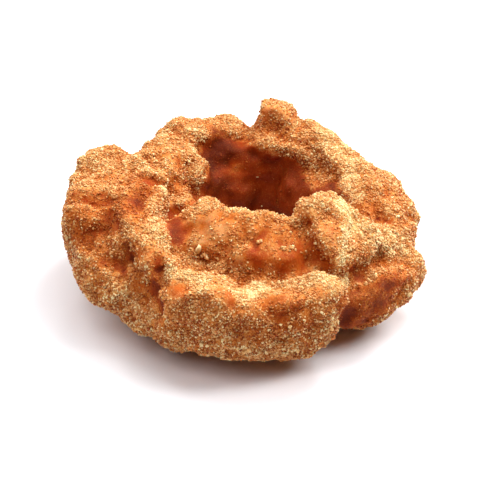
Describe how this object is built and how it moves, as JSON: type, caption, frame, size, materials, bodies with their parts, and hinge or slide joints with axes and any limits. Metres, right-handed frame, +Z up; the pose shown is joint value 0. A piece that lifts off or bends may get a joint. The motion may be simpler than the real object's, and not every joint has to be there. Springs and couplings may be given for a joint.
{
  "type": "churro doughnut",
  "caption": "Old-fashioned cake doughnut with a cracked, craggy crust and an off-centre hole, rolled in cinnamon sugar.",
  "frame": {"origin": "middle of the bounding box in plan, on the plane that the doughnut rests on", "axes": "+Z up; +X to the right and +Y away from the viewer in the reference picture"},
  "size_m": [0.092, 0.0856, 0.0357],
  "materials": {
    "crust": "matte"
  },
  "bodies": {
    "root": {"doughnut": "crust"}
  },
  "joints": []
}
